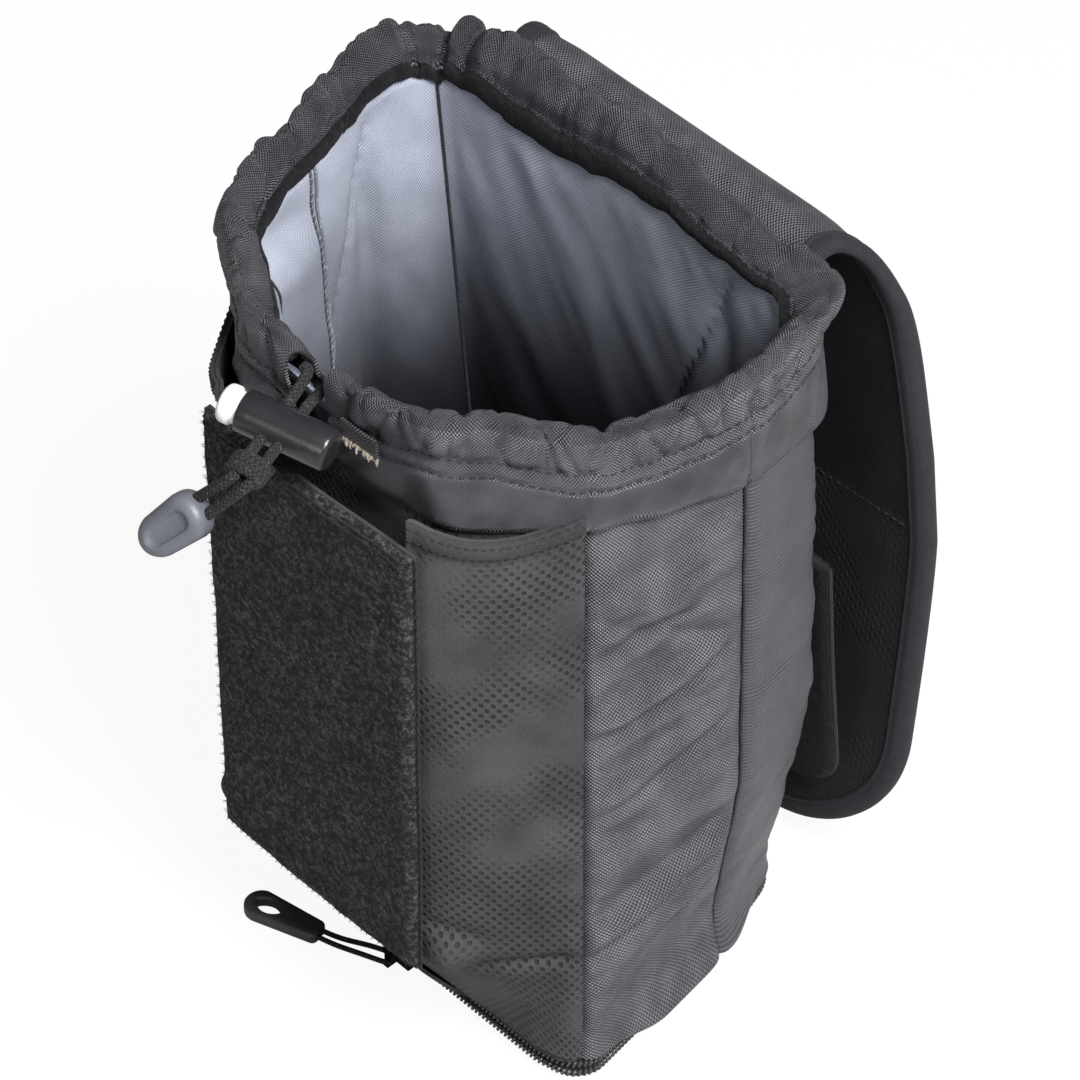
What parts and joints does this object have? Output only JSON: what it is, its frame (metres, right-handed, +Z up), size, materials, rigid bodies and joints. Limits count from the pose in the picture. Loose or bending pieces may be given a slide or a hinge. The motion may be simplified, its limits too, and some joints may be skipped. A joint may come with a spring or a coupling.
{
  "type": "camera lens pouch",
  "caption": "Padded soft camera-lens pouch with a drawstring mouth, hinged fold-over lid, loop-faced front pocket, belt flap and zipped pop-down base.",
  "frame": {"origin": "on the underside of the base, in the pouch's mirror plane, where the base rests", "axes": "+Z up through the mouth, -Y towards the front pocket and its loop panel, +X to the right seen from the front"},
  "size_m": [0.1634, 0.1943, 0.247],
  "materials": {
    "shell_nylon": "dark blue-grey ballistic weave with a soft sheen",
    "textured_fabric": "charcoal stretch fabric with small moulded pits",
    "lining_twill": "pale blue-grey fine twill with a soft sheen",
    "collar_nylon": "dark gathered nylon, matte",
    "loop_pile": "fuzzy brushed loop fastener",
    "hook_fastener": "stiff hook fastener",
    "lid_lining": "smooth dark nylon",
    "foam": "closed-cell foam, hidden inside the walls",
    "tape": "black woven tape",
    "binding": "dark folded binding tape",
    "zip_coil": "nylon zip coil",
    "slider_metal": "black enamelled zip slider",
    "cord": "dark braided cord",
    "grip_plastic": "soft dark moulded grip",
    "barrel_plastic": "semi-gloss black moulding",
    "plunger_plastic": "white moulded plunger",
    "spring_steel": "bare spring wire",
    "cap_rubber": "blue-grey moulded cord end, matte",
    "keeper_tape": "dark tape with a frayed beige cut edge"
  },
  "bodies": {
    "pouch": {"front_panel": "textured_fabric", "side_panel_right": "shell_nylon", "rear_gusset_right": "shell_nylon", "back_panel": "shell_nylon", "rear_gusset_left": "shell_nylon", "side_panel_left": "shell_nylon", "foam_front": "foam", "foam_right": "foam", "foam_back": "foam", "foam_left": "foam", "lining_front": "lining_twill", "lining_right": "lining_twill", "lining_back": "lining_twill", "lining_left": "lining_twill", "drawstring_collar": "collar_nylon", "drawcord_loop": "cord", "pocket_face": "textured_fabric", "loop_panel": "loop_pile", "pocket_wing_right": "textured_fabric", "pocket_hem_right": "textured_fabric", "pocket_wing_left": "textured_fabric", "pocket_hem_left": "textured_fabric", "pocket_foot": "textured_fabric", "zip_tape_upper": "tape", "zip_coil_upper": "zip_coil", "lid_tab": "shell_nylon", "cord_keeper_tape": "keeper_tape"},
    "popdown_base": {"base_panel": "shell_nylon", "base_foam": "foam", "base_lining": "lining_twill", "expansion_gusset": "shell_nylon", "zip_tape_lower": "tape", "zip_coil_lower": "zip_coil"},
    "zip_slider": {"zip_slider": "slider_metal"},
    "zip_pull": {"zip_pull_cord": "cord", "zip_pull_grip": "grip_plastic"},
    "lid_root": {"lid_root_outer": "shell_nylon", "lid_root_lining": "lid_lining", "lid_root_binding_right": "binding", "lid_root_binding_left": "binding"},
    "lid_top": {"lid_top_outer": "shell_nylon", "lid_top_foam": "foam", "lid_top_lining": "lid_lining", "lid_top_binding_right": "binding", "lid_top_binding_left": "binding"},
    "lid_front": {"lid_front_outer": "textured_fabric", "lid_front_foam": "foam", "lid_front_lining": "lid_lining", "lid_front_binding": "binding", "lid_hook_patch": "hook_fastener"},
    "belt_flap": {"belt_flap_web": "tape", "belt_flap_loop": "loop_pile"},
    "cord_tails": {"cord_tail_right": "cord", "cord_tail_left": "cord", "cord_knot": "cord", "cord_end_cap": "cap_rubber"},
    "cord_lock": {"cord_lock_barrel": "barrel_plastic", "cord_lock_spring": "spring_steel"},
    "lock_plunger": {"cord_lock_plunger": "plunger_plastic"}
  },
  "joints": [
    {"name": "base_pop_down", "type": "slide", "parent": "pouch", "child": "popdown_base", "axis": [0, 0, -1], "range_m": [0, 0.055], "deforming": ["expansion_gusset"]},
    {"name": "zip_slide", "type": "slide", "parent": "pouch", "child": "zip_slider", "axis": [1, 0, 0], "range_m": [-0.036, 0.03]},
    {"name": "zip_pull_swing", "type": "hinge", "parent": "zip_slider", "child": "zip_pull", "pos_m": [0.003, -0.0602, 0.0057], "axis": [0, 0, 1], "range_deg": [-8, 145]},
    {"name": "lid_root_fold", "type": "hinge", "parent": "pouch", "child": "lid_root", "pos_m": [0, 0.043, 0.2385], "axis": [1, 0, 0], "range_deg": [0, 188]},
    {"name": "lid_top_fold", "type": "hinge", "parent": "lid_root", "child": "lid_top", "pos_m": [0, 0.06322, 0.21064], "axis": [1, 0, 0], "range_deg": [0, 77]},
    {"name": "lid_front_fold", "type": "hinge", "parent": "lid_top", "child": "lid_front", "pos_m": [0, 0.07079, 0.10976], "axis": [1, 0, 0], "range_deg": [0, 83]},
    {"name": "belt_flap_lift", "type": "hinge", "parent": "pouch", "child": "belt_flap", "pos_m": [0, 0.04061, 0.131], "axis": [1, 0, 0], "range_deg": [0, 4]},
    {"name": "cord_tuck", "type": "hinge", "parent": "pouch", "child": "cord_tails", "pos_m": [-0.0084, -0.0676, 0.2162], "axis": [-1, 0, 0], "range_deg": [0, 205]},
    {"name": "cord_lock_slide", "type": "slide", "parent": "cord_tails", "child": "cord_lock", "axis": [0.324, -0.9421, -0.086], "range_m": [0, 0.0045]},
    {"name": "plunger_press", "type": "slide", "parent": "cord_lock", "child": "lock_plunger", "axis": [0.9436, 0.2928, -0.1544], "range_m": [0, 0.004], "stiffness_N_per_m": 300, "springref_m": -0.005, "deforming": ["cord_lock_spring"]}
  ]
}
